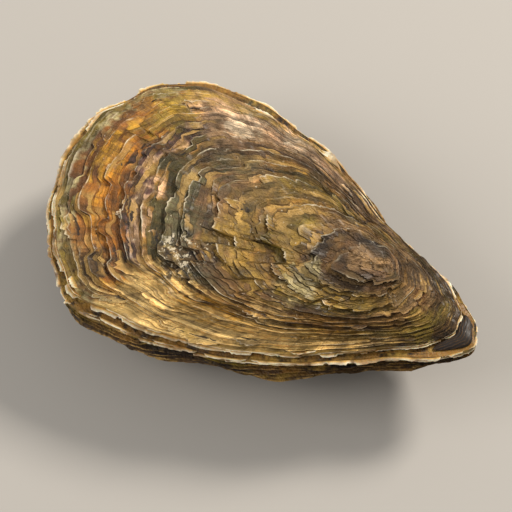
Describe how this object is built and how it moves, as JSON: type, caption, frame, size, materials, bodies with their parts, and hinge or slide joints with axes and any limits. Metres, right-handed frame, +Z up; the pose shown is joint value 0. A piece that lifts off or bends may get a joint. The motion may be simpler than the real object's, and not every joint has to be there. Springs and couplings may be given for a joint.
{
  "type": "whole oyster in shell",
  "caption": "Whole unopened cupped oyster lying on its deep ribbed valve, with the terraced flat valve on top and a wavy seam between them.",
  "frame": {"origin": "the middle of the shell's length, on the flat spot that the oyster rests on", "axes": "+X along the shell towards the hinge, +Y across it, +Z up through the flat valve"},
  "size_m": [0.0966, 0.0633, 0.0277],
  "materials": {
    "flat_valve_shell": "damp flaky shell, olive brown to ochre in growth bands, with a cream edge",
    "deep_valve_shell": "damp flaky shell, dark purple brown with pale frilled growth edges"
  },
  "bodies": {
    "root": {"upper_valve": "flat_valve_shell", "lower_valve": "deep_valve_shell"}
  },
  "joints": []
}
